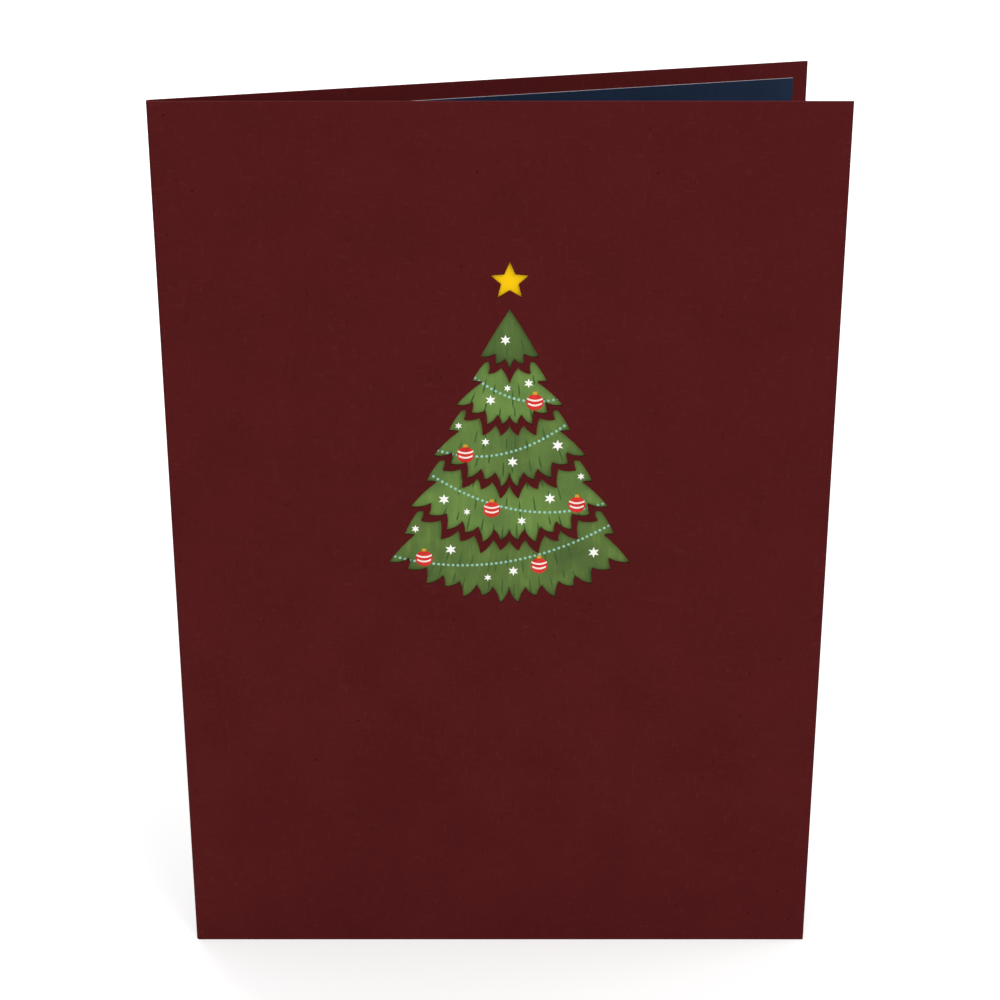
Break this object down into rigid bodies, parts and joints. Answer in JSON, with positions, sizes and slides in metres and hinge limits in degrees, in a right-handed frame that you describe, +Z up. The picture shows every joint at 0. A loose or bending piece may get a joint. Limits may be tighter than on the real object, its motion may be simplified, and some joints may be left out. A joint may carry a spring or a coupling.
{
  "type": "pop-up greeting card",
  "caption": "Folded greeting card standing ajar, with a tree and star cut through its front cover and an interlocking paper tree folded between its pages.",
  "frame": {"origin": "middle of the standing card's bounding box, on the surface it stands on", "axes": "+Z up along the spine, +X from the spine to the fore edges, the front cover faces -Y and the back cover +Y"},
  "size_m": [0.126, 0.0338, 0.1778],
  "materials": {
    "cover_card": "matt burgundy card with a fine felt texture",
    "print_paper": "smooth printed paper, green with a yellow star",
    "liner_paper": "smooth navy printed paper with a white core at its cut edges",
    "slice_card": "matt green card with laser-cut edges",
    "star_card": "matt yellow card"
  },
  "bodies": {
    "root": {"cover": "cover_card", "tree_print": "print_paper", "liner": "liner_paper", "top_slotted_slice_1": "slice_card", "top_slotted_slice_2": "slice_card", "top_slotted_slice_3": "slice_card", "top_slotted_slice_4": "slice_card", "top_slotted_slice_5": "slice_card", "base_slotted_slice_1": "slice_card", "base_slotted_slice_2": "slice_card", "base_slotted_slice_3": "slice_card", "base_slotted_slice_4": "slice_card", "base_slotted_slice_5": "slice_card", "star_topper": "star_card"}
  },
  "joints": []
}
